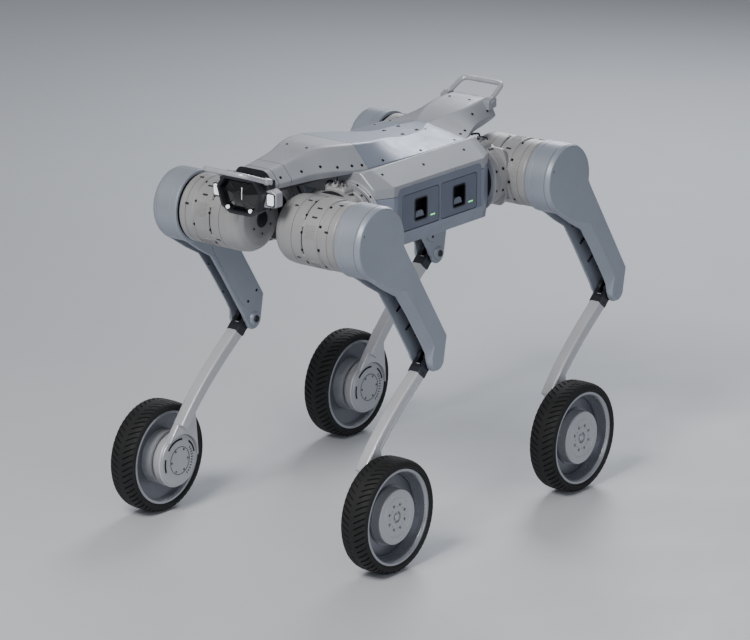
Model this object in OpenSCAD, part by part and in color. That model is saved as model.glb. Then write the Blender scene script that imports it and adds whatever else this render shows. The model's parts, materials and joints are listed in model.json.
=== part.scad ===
// Wheel-legged quadruped robot: a box body with a raised neck and tail, two side batteries,
// and four legs that each end in a driven wheel.
// The legs are drawn about their own hip axis; place() then sets the robot on its wheels.

/* [Stance] */
// Distance between front and rear hip axes
hip_spacing = 657; // [640:1:700]
// Thigh length, hip axis to knee axis
thigh_len = 350; // [340:1:360]
// Calf length, knee axis to wheel axis
calf_len = 350; // [340:1:360]
// Backward lean of the thigh from vertical at rest
thigh_lean = 33; // [28:1:38]
// Forward lean of the calf from vertical at rest
calf_lean = 39.2; // [34:0.1:44]
// Distance of each abduction axis from the centre plane
abduct_y = 95; // [94:1:96]

/* [Body] */
// Half width of the body at the battery doors
body_half_w = 174; // [172:1:176]
// Half length of the body shell
body_half_l = 200; // [198:1:202]
// Bottom of the body shell, below the hip axis
body_low = -75; // [-78:1:-72]
// Height of the shell's upper edge above the hip axis
body_top = 98; // [97:1:100]
// Height of the top platform's flat above the hip axis
deck_z = 114; // [112:1:116]
// Wall thickness of the body shell
wall = 4; // [3:0.5:5]
// Payload hole spacing along the body
payload_x = 50; // [40:1:60]
// Payload hole spacing across the body
payload_y = 50; // [40:1:60]
// Radius of a payload hole
payload_r = 2.5; // [2:0.5:3]

/* [Battery] */
// Width of one battery along the body
batt_w = 128; // [120:1:129]
// Height of one battery
batt_h = 80; // [76:1:81]
// Depth of one battery into the body
batt_depth = 190; // [160:1:195]

/* [Leg] */
// Radius of the thigh drum
drum_r = 78; // [76:1:79]
// Inner face of the thigh drum, from the centre plane
drum_in = 211; // [210:1:212]
// Outer face of the thigh cover, from the centre plane
thigh_out = 276; // [275:1:277]
// Distance of the thigh's rear face behind the leg line
spine_back = 55; // [54:1:57]
// Radius of the knee crank and of the calf's lever
crank_len = 40; // [38:1:41]
// Radius of the knee pin
knee_pin_r = 7; // [6:0.5:8]
// Width of the calf bar in its plane
calf_w = 27; // [24:1:30]

/* [Wheel] */
// Radius of the tyre
tyre_r = 122; // [120:1:124]
// Width of the tyre
tyre_w = 66; // [60:1:68]
// Radius of the rim barrel
rim_r = 98; // [96:1:99]
// Centre plane of the wheel, from the robot's centre plane
wheel_y = 314; // [313:1:315]
// Bolt circle diameter of the wheel hub
hub_pcd = 54; // [50:1:60]
// Radius of a hub bolt hole
hub_hole_r = 2.75; // [2:0.25:3.5]

/* [Handles] */
// Radius of the handle tube
handle_r = 5.5; // [5:0.5:6.5]
// Half length of the grip bar
handle_half = 54; // [50:1:60]

/* [Hidden] */
$fn = 64;
LEGS = [["front_left", 1, 1], ["front_right", 1, -1], ["rear_left", -1, 1], ["rear_right", -1, -1]];
LEG_NODES = ["hip_bracket", "hip_motor", "thigh_frame", "thigh_cover", "knee_crank", "knee_rod",
    "calf", "wheel_motor", "wheel_rim", "tyre"];
BODY_NODES = ["chassis", "top_cover", "neck_cover", "tail_cover", "head_housing", "visor",
    "head_lamps", "front_handle", "rear_handle", "belly_plate", "side_panel_right",
    "abduction_motors", "computer_unit", "cover_screws", "battery_front", "battery_rear",
    "latch_front", "latch_rear"];

hip_x = hip_spacing / 2;
knee = [-thigh_len * sin(thigh_lean), 0, -thigh_len * cos(thigh_lean)];
axle = knee + [calf_len * sin(calf_lean), 0, -calf_len * cos(calf_lean)];
hip_h = tyre_r - axle[2];
corner_t = 325;             // lower corner of the thigh's spine, along the leg line
lever_r = 14;               // round end of the calf's lever
bend_r = handle_r + 0.15;   // ball at each corner of a handle
// Rearmost point: the lever of a rear calf
rear_reach = hip_x - knee[0] + crank_len * sin(calf_lean) + lever_r;
front_bar = [499, 0, 143];
front_foot = [424, 0, 114.5];
rear_bar = [-385, 0, 169];
rear_foot = [-326, 0, 137];
front_reach = front_bar[0] + bend_r;
shift_x = (rear_reach - front_reach) / 2;

run = 0.06;                 // radial clearance of a running fit
slack = 0.3;                // radial clearance of the linkage's open pivot
flange_r = 79;              // abduction flange on the body's end faces
boss_r = 28;                // abduction motor's output boss
hip_tube_r = 70;            // round hip bracket, along X
motor_r = 74;               // thigh and knee motor unit
hub_r = 30;                 // thigh motor's output hub
shaft_r = 15;               // knee crank's shaft
rod_y0 = 242;               // the knee rod lies between these two planes
rod_y1 = 250;
yoke_in = 231.5;            // the calf's knee end lies between these two planes
yoke_out = 261.5;
cheek_in = 222;             // inner cheek of the thigh channel
cheek_t = 7.5;
cover_in = 263;             // joint between thigh frame and thigh cover
crank_pin_r = 5;
eye_r = 9;
knee_end_r = 25;
housing_r = 60;             // wheel motor housing at the calf's lower end
stator_r = 50;
axle_r = 12;
gap = 1;                    // gap round a battery
bay_x = [2.5, 2.5 + batt_w];
bay_z = [-36.5, -36.5 + batt_h];
recess = [44, 14, 46];      // latch recess in a battery face
tab_h = 14;                 // height of the latch tab above its pin
latch_pin = [0, 169.5, -15];
latch_pin_r = 1.2;
cover_x = 165;              // half length of the top cover
flat_x = [-135, -45];       // the platform's flat, from end to end
flat_mid = (flat_x[0] + flat_x[1]) / 2;
deck_half = 40;             // half width of the flat
slope_y = 118;              // the sloping sides of ramp, neck and tail start here
slope_z = 100;
screw_r = 3.4;
pocket_r = 3.8;             // pocket that sinks a deck screw's head flush

painted = [0.62, 0.63, 0.66];
dark = [0.10, 0.10, 0.12];
bright = [0.76, 0.76, 0.78];

// Shapes

// Extrudes a side outline (x, z) between two planes across the robot
module slab(y0, y1) translate([0, y1, 0]) rotate([90, 0, 0]) linear_extrude(y1 - y0) children();

// Extrudes an end outline (y, z) between two planes along the robot
module loaf(x0, x1) translate([x0, 0, 0]) rotate([90, 0, 90]) linear_extrude(x1 - x0) children();

module rod_y(r, y0, y1) translate([0, y0, 0]) rotate([-90, 0, 0]) cylinder(r = r, h = y1 - y0);

module rod_x(r, x0, x1) translate([x0, 0, 0]) rotate([0, 90, 0]) cylinder(r = r, h = x1 - x0);

module box(low, high) translate(low) cube(high - low);

// A flat link between two round ends, as a side outline
module link(p, q, r, w) {
    span = norm(q - p);
    turn = atan2(q[1] - p[1], q[0] - p[0]);
    translate(p) circle(r);
    translate(q) circle(r);
    translate(p) rotate(turn) translate([0, -w / 2]) square([span, w]);
}

// A straight round tube between two points
module tube(p, q, r) {
    v = q - p;
    translate(p) rotate([0, acos(v[2] / norm(v)), atan2(v[1], v[0])]) cylinder(r = r, h = norm(v));
}

// Turns a profile of [radius, y] points about the Y axis
module turned(profile) rotate([-90, 0, 0]) rotate_extrude() polygon(profile);

module mirror_y() { children(); mirror([0, 1, 0]) children(); }

module both_ends() { children(); mirror([1, 0, 0]) children(); }

module at_corners() both_ends() mirror_y() translate([0, abduct_y, 0]) children();

// Body

function both_sides(half) = concat(half, [for (i = [len(half) - 1:-1:0]) [-half[i][0], half[i][1]]]);

// The body's hexagonal section with its corners cut in plan, drawn in by an inset
module body_block(inset) {
    w = body_half_w - inset;
    intersection() {
        loaf(-body_half_l + inset, body_half_l - inset) polygon(both_sides([[150 - inset, body_low + inset],
            [w, -38], [w, 67], [120 - inset, body_top - inset]]));
        translate([0, 0, -100]) linear_extrude(220) polygon(both_sides([[150, -w],
            [body_half_l, inset - 155], [body_half_l, 155 - inset], [150, w]]));
    }
}

module chassis() color(painted) difference() {
    union() {
        difference() {
            body_block(0);
            body_block(wall);
        }
        at_corners() rod_x(flange_r, body_half_l - wall, body_half_l + 5);
        box([-136, -160, -41], [136, 172, -38]);
        box([-1.5, -24, -38], [1.5, 172, 45]);
    }
    at_corners() rod_x(boss_r + 1, body_half_l - 2 * wall, body_half_l + 20);
    both_ends() box([bay_x[0] - gap, 160, bay_z[0] - gap], [bay_x[1] + gap, 190, bay_z[1] + gap]);
    box([-140, -100, 80], [140, 100, 110]);
    box([-140, -110, -90], [140, 110, -60]);
    box([-121, -190, -31], [121, -160, 41]);
}

// The platform: a low back with a flat along its middle, and a ramp that rises to the neck
module top_cover() color([0.55, 0.57, 0.63]) difference() {
    union() {
        loaf(-cover_x, cover_x) polygon(both_sides([[120, body_top], [deck_half, deck_z]]));
        hump(concat(ramp_top, [[flat_x[1], body_top], [cover_x, body_top]]), both_halves(ramp_half),
            slope_y, slope_z);
    }
    difference() {
        union() {
            loaf(3 - cover_x, cover_x - 3) polygon(both_sides([[114, body_top - 1],
                [deck_half - 3, deck_z - wall]]));
            hump(concat([for (p = ramp_top) [p[0] - 3, p[1] - wall]], [[flat_x[1] - 3, body_top - 1],
                [cover_x - 3, body_top - 1]]), [for (p = both_halves(ramp_half)) [p[0], p[1] * 0.93]],
                slope_y - 6, slope_z - wall);
        }
        at_payload() translate([0, 0, 90]) cylinder(r = 7, h = 40);
    }
    at_payload() translate([0, 0, deck_z - 16]) cylinder(r = payload_r, h = 20);
    deck_screws(pocket_r, deck_z - 2.5, deck_z + 1);
}

module at_payload() for (sx = [-1, 1]) for (sy = [-1, 1])
    translate([flat_mid + sx * payload_x / 2, sy * payload_y / 2, 0]) children();

// Side outline, plan outline and sloping sides together give a faceted hump
module hump(side, plan, edge_y, edge_z) intersection() {
    slab(-130, 130) polygon(side);
    translate([0, 0, 80]) linear_extrude(100) polygon(plan);
    loaf(-420, 450) polygon(both_sides([[edge_y, 85], [edge_y, edge_z], [edge_y - 62, 160]]));
}

function both_halves(half) = concat(half, [for (i = [len(half) - 1:-1:0]) [half[i][0], -half[i][1]]]);

ramp_top = [[cover_x, 147], [100, 138], [50, 131], [0, 124], [flat_x[1], deck_z]];
ramp_half = [[flat_x[1] - 4, deck_half], [0, 52], [50, 78], [100, 108], [cover_x, 118]];
neck_top = [[cover_x, 147], [200, 150], [245, 153], [300, 143], [370, 133], [404, 128]];
neck_side = concat(neck_top, [[404, 96], [300, 91], [207, 91], [207, 98.5], [cover_x, 98.5]]);
neck_hollow = [[169, 98.5], [169, 143], [202, 146], [245, 149], [300, 139], [370, 129], [404.5, 124],
    [404.5, 99], [300, 94], [211, 94], [211, 98.5]];
neck_half = [[cover_x, 118], [230, 90], [300, 66], [404, 52]];
tail_top = [[-cover_x, deck_z], [-200, 126], [-250, 137], [-330, 150], [-352, 146]];
tail_side = concat(tail_top, [[-364, 130], [-340, 93], [-207, 91], [-207, 98.5], [-cover_x, 98.5]]);
tail_hollow = [[-169, 98.5], [-169, deck_z - wall], [-200, 122], [-250, 133], [-330, 146], [-350, 142],
    [-359, 130], [-338, 96], [-211, 94], [-211, 98.5]];
tail_half = [[-cover_x, 118], [-230, 92], [-300, 72], [-345, 60], [-364, 46]];

module neck_cover() color(painted) difference() {
    hump(neck_side, both_halves(neck_half), slope_y, slope_z);
    hump(neck_hollow, [for (p = both_halves(neck_half)) [p[0], p[1] * 0.93]], slope_y - 6, slope_z - wall);
}

module tail_cover() color(painted) difference() {
    union() {
        difference() {
            hump(tail_side, both_halves(tail_half), slope_y, slope_z);
            hump(tail_hollow, [for (p = both_halves(tail_half)) [p[0], p[1] * 0.93]], slope_y - 6,
                slope_z - wall);
        }
        mirror_y() box([-346, 50, 124], [-318, 68, 146]);
    }
    handle_tube(rear_bar, rear_foot, handle_r + 0.05);
}

head_outer = both_sides([[26, 40], [50, 54], [64, 96], [46, 124]]);
head_inner = both_sides([[22, 48], [42, 60], [54, 92], [38, 116]]);

module head_housing() color(dark) difference() {
    union() {
        loaf(404.5, 440) polygon(head_outer);
        mirror_y() box([412, 50, 60], [434, 84, 102]);
        mirror_y() box([412, 40, 98], [436, 68, 122]);
    }
    loaf(412, 450) polygon(head_inner);
    mirror_y() box([430, 62, 70], [440, 80, 94]);
    handle_tube(front_bar, front_foot, handle_r + 0.05);
}

module visor() color([0.02, 0.02, 0.03]) difference() {
    loaf(440.2, 452) polygon(both_sides([[24, 44], [47, 57], [60, 94], [44, 120]]));
    loaf(439, 448) polygon(head_inner);
}

module head_lamps() color([0.9, 0.92, 0.95]) {
    mirror_y() box([430.2, 62.5, 70.5], [437, 79.5, 93.5]);
    mirror_y() translate([0, 30, 55]) rod_x(4, 452.2, 454);
}

// A loop handle: a grip bar across the robot and two legs down to their feet
module handle_tube(bar, foot, r) {
    left = bar + [0, handle_half, 0];
    right = bar - [0, handle_half, 0];
    translate([bar[0], 0, bar[2]]) rod_y(r, -handle_half, handle_half);
    for (p = [left, right]) translate(p) sphere(r + bend_r - handle_r);
    tube(left, foot + [0, handle_half + 5, 0], r);
    tube(right, foot - [0, handle_half + 5, 0], r);
}

module front_handle() color(bright) handle_tube(front_bar, front_foot, handle_r);

module rear_handle() color(bright) handle_tube(rear_bar, rear_foot, handle_r);

module belly_plate() color(dark)
    box([-146, -118, body_low - 3], [146, 118, body_low]);

module side_panel_right() color([0.37, 0.40, 0.45])
    box([-120, -body_half_w - 0.5, -30], [120, -body_half_w + 3.5, 40]);

module abduction_motors() color([0.3, 0.3, 0.32])
    at_corners() {
        rod_x(52, body_half_l - 60, body_half_l - 2 * wall);
        rod_x(boss_r, body_half_l - 2 * wall, body_half_l + 22);
    }

module computer_unit() color([0.12, 0.16, 0.14])
    box([-125, -156, -38], [125, -32, 50]);

// The four screws at the corners of the platform's flat
module deck_screws(r, z0, z1)
    for (x = [flat_x[0] + 4, flat_x[1] - 4]) mirror_y()
        translate([x, deck_half - 6, z0]) cylinder(r = r, h = z1 - z0);

// Screw heads: flush ones in the top platform and low ones on the right side panel
module cover_screws() color([0.08, 0.08, 0.09]) {
    deck_screws(screw_r, deck_z - 2.5, deck_z - 0.2);
    for (x = [-112, 112]) for (z = [-22, 32]) translate([x, 0, z])
        rod_y(screw_r, -body_half_w - 1.7, -body_half_w - 0.5);
}

// A battery, its faceplate flush with the body's side
module battery(x0, x1) color([0.38, 0.41, 0.48]) difference() {
    union() {
        box([x0 + 2, body_half_w - 8 - batt_depth, bay_z[0] + 1], [x1 - 2, body_half_w - 6, bay_z[1] - 1]);
        box([x0, body_half_w - 6, bay_z[0]], [x1, body_half_w + 1, bay_z[1]]);
    }
    mid = (x0 + x1) / 2;
    box([mid - recess[0] / 2, body_half_w - recess[1], 3.5 - recess[2] / 2],
        [mid + recess[0] / 2, body_half_w + 5, 3.5 + recess[2] / 2]);
    translate(latch_pin) rod_x(latch_pin_r + run, mid - recess[0] / 2 - 4, mid + recess[0] / 2 + 4);
}

// The latch tab swings out about the pin along its lower edge
module latch(x0, x1) color([0.5, 0.52, 0.55]) {
    mid = (x0 + x1) / 2;
    half = recess[0] / 2 - 1;
    translate(latch_pin) {
        box([mid - half, -2.5, 0], [mid + half, 2.5, tab_h]);
        rod_x(2.5, mid - half, mid + half);
        rod_x(latch_pin_r, mid - half - 4, mid + half + 4);
    }
}

// Legs, drawn about the hip axis with y from the robot's centre plane

module hip_bracket() color(painted) difference() {
    union() {
        translate([0, abduct_y, 0]) rod_x(hip_tube_r, -hip_x + body_half_l + 7, -66);
        box([-74, 62, -56], [-36, 140, 56]);
    }
    rod_y(motor_r + 0.05, 20, 220);
    translate([0, abduct_y, 0]) rod_x(boss_r + run, -hip_x + body_half_l, -hip_x + body_half_l + 23);
}

module hip_motor() color(painted)
    turned([[0, 40], [56, 40], [64, 43], [70, 50], [motor_r, 60], [motor_r, 120], [71, 122],
        [71, 126], [motor_r, 128], [motor_r, 163], [70, 165], [70, 169], [73, 171], [73, 203],
        [68, 208.5], [hub_r, 208.5], [hub_r, 226], [shaft_r + run, 226], [shaft_r + run, 205], [0, 205]]);

module in_thigh() rotate([0, thigh_lean, 0]) children();

module in_calf() translate(knee) rotate([0, -calf_lean, 0]) children();

// Side outline of the channel: spine behind the leg line, round knee end
module channel_outline(front) {
    polygon([[-spine_back, -40], [-spine_back, -corner_t], [-20, -thigh_len - 15], [0, -thigh_len],
        [front, -thigh_len + 12], [front, -60], [40, -40]]);
    translate([0, -thigh_len]) circle(knee_end_r);
}

module thigh_frame() color(painted) in_thigh() {
    difference() {
        union() {
            rod_y(drum_r, drum_in, cover_in);
            slab(cheek_in, cheek_in + cheek_t) channel_outline(22);
            box([-spine_back, cheek_in, -298], [-spine_back + 5, cover_in, -50]);
        }
        rod_y(hub_r + run, drum_in - 1, drum_in + 8);
        rod_y(70, drum_in + 8, cover_in + 1);
        box([-spine_back + 5, cheek_in + cheek_t, -90], [22, cover_in + 1, -50]);
        translate([0, 0, -thigh_len]) rod_y(knee_pin_r + 2, cheek_in - 1, cheek_in + 2);
    }
    translate([0, 0, -thigh_len]) rod_y(knee_pin_r, cheek_in + 2, cover_in);
}

module thigh_cover() color(painted) in_thigh() difference() {
    union() {
        rod_y(drum_r, cover_in, thigh_out - 7);
        translate([0, thigh_out - 7, 0]) rotate([-90, 0, 0])
            cylinder(r1 = drum_r, r2 = drum_r - 6, h = 7);
        slab(cover_in, thigh_out - 7) channel_outline(16);
        slab(cover_in, thigh_out) polygon([[-spine_back, -48], [-spine_back, -corner_t],
            [-20, -thigh_len - 15], [17, -thigh_len + 11], [-9, -314], [-12, -300], [-6, -141],
            [30, -103], [66, -30]]);
        slab(cover_in, thigh_out) translate([0, -thigh_len]) circle(knee_end_r - 2);
    }
    rod_y(62, cover_in - 1, thigh_out - 6);
}

module crank_point(r, y0, y1) rotate([0, -calf_lean, 0]) translate([0, 0, crank_len]) rod_y(r, y0, y1);

module knee_crank() color([0.3, 0.3, 0.32]) {
    rod_y(shaft_r, 207, 228);
    rotate([0, -calf_lean, 0]) slab(228, rod_y0 - 1.5) link([0, 0], [0, crank_len], eye_r, 14);
    rod_y(18, 228, rod_y0 - 1.5);
    crank_point(crank_pin_r, rod_y0 - 1.5, rod_y1 + 1);
}

module knee_rod() color([0.35, 0.35, 0.37]) difference() {
    rotate([0, -calf_lean, 0]) translate([0, 0, crank_len]) rotate([0, calf_lean + thigh_lean, 0])
        slab(rod_y0, rod_y1) link([0, 0], [0, -thigh_len], eye_r, 12);
    crank_point(crank_pin_r + run, rod_y0 - 1, rod_y1 + 1);
    translate(knee) crank_point(crank_pin_r + slack, rod_y0 - 1, rod_y1 + 1);
}

// Centre line of the calf bar: an arc that bows forwards, from the knee to above the wheel
bow = 50;
function bar_mid(t) = [bow * sin(90 * t) - 2 * t, -290 * t];
function bar_half(t) = calf_w / 2 - 1.5 * t;
bar_steps = 12;

module calf_bar() polygon(concat(
    [for (i = [1:bar_steps]) bar_mid(i / bar_steps) + [bar_half(i / bar_steps), 0]],
    [for (i = [bar_steps:-1:1]) bar_mid(i / bar_steps) - [bar_half(i / bar_steps), 0]]));

module calf() color(bright) in_calf() {
    difference() {
        union() {
            slab(yoke_in, yoke_out) link([0, 0], [0, crank_len], lever_r, 26);
            slab(yoke_in, yoke_out) polygon([[-lever_r, 0], [lever_r, 0], bar_mid(0.2) + [bar_half(0.2), 0],
                bar_mid(0.2) - [bar_half(0.2), 0]]);
            slab(yoke_in + 2, yoke_out - 1) calf_bar();
            slab(yoke_in + 14, yoke_out - 1) polygon([bar_mid(0.8) + [bar_half(1), 0], [56, -330],
                [0, -350], [-40, -305], bar_mid(0.85) - [bar_half(1), 0]]);
            translate([0, 0, -calf_len]) rod_y(housing_r, 254, 275);
        }
        rod_y(knee_pin_r + run, yoke_in - 1, yoke_out + 1);
        slab(rod_y0 - 1, rod_y1 + 1.5) polygon([[-40, 75], [40, 75], [40, 0], [22, -32], [-22, -32],
            [-40, 0]]);
        translate([0, 0, -calf_len]) rod_y(stator_r + run, 250, 280);
        translate([0, 0, -calf_len]) rod_y(58.5, 230, 254);
    }
    translate([0, 0, crank_len]) rod_y(crank_pin_r, rod_y0 - 1, rod_y1 + 1.5);
}

module at_axle() translate(axle) children();

module wheel_motor() color([0.66, 0.67, 0.69]) at_axle()
    turned([[0, 249], [44, 249], [56, 250.5], [58, 254], [stator_r, 254], [stator_r, 328],
        [axle_r, 328], [axle_r, 336], [0, 336]]);

module wheel_rim() color(bright) at_axle() difference() {
    turned([[axle_r + run, 333], [53, 333], [53, 282], [59, 282], [59, 306],
        [rim_r - 4, 300], [rim_r - 4, 290], [rim_r - 1, 285], [rim_r + 5, 285], [rim_r + 5, 289],
        [rim_r, 289], [rim_r, 339], [rim_r + 5, 339], [rim_r + 5, 343], [rim_r - 1, 343],
        [rim_r - 4, 338], [rim_r - 4, 308], [59, 316], [59, 340], [axle_r + run, 340]]);
    for (i = [0:7]) rotate([0, 22.5 + 45 * i, 0]) translate([hub_pcd / 2, 0, 0])
        rod_y(hub_hole_r, 320, 350);
}

module tyre() color([0.04, 0.04, 0.045]) at_axle() {
    h = tyre_w / 2;
    translate([0, wheel_y, 0]) turned([[rim_r + 0.05, 24.9], [rim_r + 0.05, -24.9],
        [rim_r + 5.1, -24.9], [rim_r + 5.1, -29], [rim_r + 9, -h], [tyre_r - 8, -h + 1],
        [tyre_r - 2, -h + 8], [tyre_r, -h + 16], [tyre_r, h - 16], [tyre_r - 2, h - 8],
        [tyre_r - 8, h - 1], [rim_r + 9, h], [rim_r + 5.1, 29], [rim_r + 5.1, 24.9]]);
}

// Assembly

module place() translate([shift_x, 0, hip_h]) children();

module at_leg(leg) place() translate([leg[1] * hip_x, 0, 0])
    if (leg[2] > 0) children(); else mirror([0, 1, 0]) children();

module show(name) place() children();

module show_leg(part, leg) at_leg(leg) children();

show("chassis") chassis();
show("top_cover") top_cover();
show("neck_cover") neck_cover();
show("tail_cover") tail_cover();
show("head_housing") head_housing();
show("visor") visor();
show("head_lamps") head_lamps();
show("front_handle") front_handle();
show("rear_handle") rear_handle();
show("belly_plate") belly_plate();
show("side_panel_right") side_panel_right();
show("abduction_motors") abduction_motors();
show("computer_unit") computer_unit();
show("cover_screws") cover_screws();
show("battery_front") battery(bay_x[0], bay_x[1]);
show("battery_rear") battery(-bay_x[1], -bay_x[0]);
show("latch_front") latch(bay_x[0], bay_x[1]);
show("latch_rear") latch(-bay_x[1], -bay_x[0]);
for (leg = LEGS) {
    show_leg("hip_bracket", leg) mirror([leg[1] < 0 ? 1 : 0, 0, 0]) hip_bracket();
    show_leg("hip_motor", leg) hip_motor();
    show_leg("thigh_frame", leg) thigh_frame();
    show_leg("thigh_cover", leg) thigh_cover();
    show_leg("knee_crank", leg) knee_crank();
    show_leg("knee_rod", leg) knee_rod();
    show_leg("calf", leg) calf();
    show_leg("wheel_motor", leg) wheel_motor();
    show_leg("wheel_rim", leg) wheel_rim();
    show_leg("tyre", leg) tyre();
}
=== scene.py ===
"""Looks of a wheel-legged quadruped robot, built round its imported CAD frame.

Pieces are modelled in millimetres in the hip frame (origin midway between the four hips) and are
placed in the row frame, in metres, by the matrices BODY, leg() and the limb frames below.
"""
import json
import math

import bmesh
import bpy
from mathutils import Matrix, Vector
from mathutils.bvhtree import BVHTree


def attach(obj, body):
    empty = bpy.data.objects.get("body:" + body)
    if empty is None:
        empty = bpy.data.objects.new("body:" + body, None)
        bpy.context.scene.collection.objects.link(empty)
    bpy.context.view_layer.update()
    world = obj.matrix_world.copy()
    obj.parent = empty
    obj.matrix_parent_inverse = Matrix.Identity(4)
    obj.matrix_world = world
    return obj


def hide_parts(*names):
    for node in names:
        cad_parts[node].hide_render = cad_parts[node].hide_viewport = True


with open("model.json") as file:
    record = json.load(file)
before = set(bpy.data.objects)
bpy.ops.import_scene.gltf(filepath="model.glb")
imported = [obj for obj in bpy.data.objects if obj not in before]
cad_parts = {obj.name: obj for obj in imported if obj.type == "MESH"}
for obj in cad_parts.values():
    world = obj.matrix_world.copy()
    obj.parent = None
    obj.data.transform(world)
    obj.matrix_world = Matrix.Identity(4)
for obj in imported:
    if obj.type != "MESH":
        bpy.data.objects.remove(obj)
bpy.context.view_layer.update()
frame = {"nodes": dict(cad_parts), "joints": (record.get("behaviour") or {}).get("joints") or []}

# ---------------------------------------------------------------- frames, from the CAD joints

MM = 0.001
JOINTS = {joint["name"]: joint for joint in frame["joints"]}


def joint_at(name):
    return Vector(JOINTS[name]["pos_m"])


HIP = joint_at("thigh_swing_front_left")
REAR_HIP = joint_at("thigh_swing_rear_left")
MID_X = (HIP.x + REAR_HIP.x) / 2
HIP_X = (HIP.x - REAR_HIP.x) / 2 / MM
ABDUCT_Y = joint_at("abduct_front_left").y / MM
KNEE = (joint_at("knee_bend_front_left") - HIP) / MM
AXLE = (joint_at("wheel_spin_front_left") - HIP) / MM
THIGH_LEAN = math.atan2(-KNEE.x, -KNEE.z)
CALF_LEAN = math.atan2(AXLE.x - KNEE.x, KNEE.z - AXLE.z)
THIGH_LEN = math.hypot(KNEE.x, KNEE.z)
CALF_LEN = math.hypot(AXLE.x - KNEE.x, AXLE.z - KNEE.z)

BODY = Matrix.Translation((MID_X, 0, HIP.z)) @ Matrix.Scale(MM, 4)
IN_THIGH = Matrix.Rotation(THIGH_LEAN, 4, "Y")
IN_CALF = Matrix.Translation((KNEE.x, 0, KNEE.z)) @ Matrix.Rotation(-CALF_LEAN, 4, "Y")
AT_AXLE = Matrix.Translation((AXLE.x, 0, AXLE.z))
LEGS = [("front_left", 1, 1), ("front_right", 1, -1), ("rear_left", -1, 1), ("rear_right", -1, -1)]


def leg(fore, side, flip_x=False):
    """Leg frame to row frame. Right legs are mirrored; flip_x mirrors what faces the body."""
    scale = Matrix.Diagonal((fore if flip_x else 1, side, 1, 1))
    return BODY @ Matrix.Translation((fore * HIP_X, 0, 0)) @ scale


# ---------------------------------------------------------------- mesh tools, all in millimetres

SHARP = math.radians(38)


def build(verts, faces):
    """A mesh from points and faces, with doubles merged and normals turned outwards."""
    mesh = bpy.data.meshes.new("raw")
    mesh.from_pydata([tuple(v) for v in verts], [], faces)
    bm = bmesh.new()
    bm.from_mesh(mesh)
    bmesh.ops.remove_doubles(bm, verts=bm.verts, dist=1e-4)
    bmesh.ops.dissolve_degenerate(bm, edges=bm.edges, dist=1e-4)
    bmesh.ops.recalc_face_normals(bm, faces=bm.faces)
    bm.to_mesh(mesh)
    bm.free()
    return mesh


def rounded(points, radius, steps=4, closed=True):
    """The polyline with its corners rounded; radius is one number or one per corner."""
    points = [Vector(p) for p in points]
    out = []
    for i, p in enumerate(points):
        r = radius[i] if isinstance(radius, (list, tuple)) else radius
        if r == 0 or (not closed and i in (0, len(points) - 1)):
            out += [p] * (1 if r == 0 or not closed else steps + 1)
            continue
        a = points[i - 1] - p
        b = points[(i + 1) % len(points)] - p
        tangent = r / max(math.tan(a.angle(b) / 2), 1e-6)
        cut = min(tangent, 0.48 * a.length, 0.48 * b.length)
        start, end = p + a.normalized() * cut, p + b.normalized() * cut
        for k in range(steps + 1):
            t = k / steps
            out.append(start * (1 - t) ** 2 + p * (2 * t * (1 - t)) + end * t * t)
    return out


def arc(centre, radius, start, end, steps):
    """Points of an arc in a plane; angles in degrees, 0 along the first axis."""
    turns = [math.radians(start + (end - start) * k / steps) for k in range(steps + 1)]
    return [(centre[0] + radius * math.cos(a), centre[1] + radius * math.sin(a)) for a in turns]


def on_circle(radius, turn, y=0.0):
    """A point on a circle about the Y axis; the turn is in degrees."""
    a = math.radians(turn)
    return (radius * math.cos(a), y, radius * math.sin(a))


def box_outline(x0, x1, z0, z1, radius=0.0, steps=5):
    corners = [(x0, z0), (x1, z0), (x1, z1), (x0, z1)]
    return rounded(corners, radius, steps) if radius else corners


def loft(rings, closed=True, capped=True):
    """Skins rings of equal length; each ring is a list of 3-D points."""
    n = len(rings[0])
    verts = [p for ring in rings for p in ring]
    faces = []
    for r in range(len(rings) - 1):
        for i in range(n if closed else n - 1):
            j = (i + 1) % n
            faces.append((r * n + i, r * n + j, (r + 1) * n + j, (r + 1) * n + i))
    if capped:
        last = (len(rings) - 1) * n
        faces += [tuple(range(n))[::-1], tuple(range(last, last + n))]
    return build(verts, faces)


def prism(outline, y0, y1):
    """A side outline (x, z) extruded across the robot."""
    return loft([[(p[0], y, p[1]) for p in outline] for y in (y0, y1)])


def stack(*levels):
    """Side outlines of equal length at their own heights: (outline, y), ..."""
    return loft([[(p[0], y, p[1]) for p in outline] for outline, y in levels])


def lathe(profile, steps=96):
    """Turns a closed profile of (radius, y) points about the Y axis."""
    rings = []
    for k in range(steps):
        a = 2 * math.pi * k / steps
        rings.append([(r * math.cos(a), y, r * math.sin(a)) for r, y in profile])
    return loft(rings + rings[:1], capped=False)


def tube(path, radius, steps=20):
    """A round tube along a path of 3-D points; radius is one number or one per point."""
    path = [Vector(p) for p in path]
    rings = []
    side = None
    for i, p in enumerate(path):
        along = (path[min(i + 1, len(path) - 1)] - path[max(i - 1, 0)]).normalized()
        if side is None:
            side = along.orthogonal().normalized()
        side = (side - along * side.dot(along)).normalized()
        up = along.cross(side)
        r = radius[i] if isinstance(radius, (list, tuple)) else radius
        turns = [2 * math.pi * k / steps for k in range(steps)]
        rings.append([p + (side * math.cos(a) + up * math.sin(a)) * r for a in turns])
    return loft(rings)


def with_modifiers(mesh, settings):
    """A new mesh: the old one with the listed (type, values) modifiers applied."""
    obj = bpy.data.objects.new("work", mesh)
    bpy.context.scene.collection.objects.link(obj)
    for kind, values in settings:
        modifier = obj.modifiers.new(kind, kind)
        for key, value in values.items():
            setattr(modifier, key, value)
    graph = bpy.context.evaluated_depsgraph_get()
    result = bpy.data.meshes.new_from_object(obj.evaluated_get(graph))
    bpy.data.objects.remove(obj)
    return result


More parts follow.
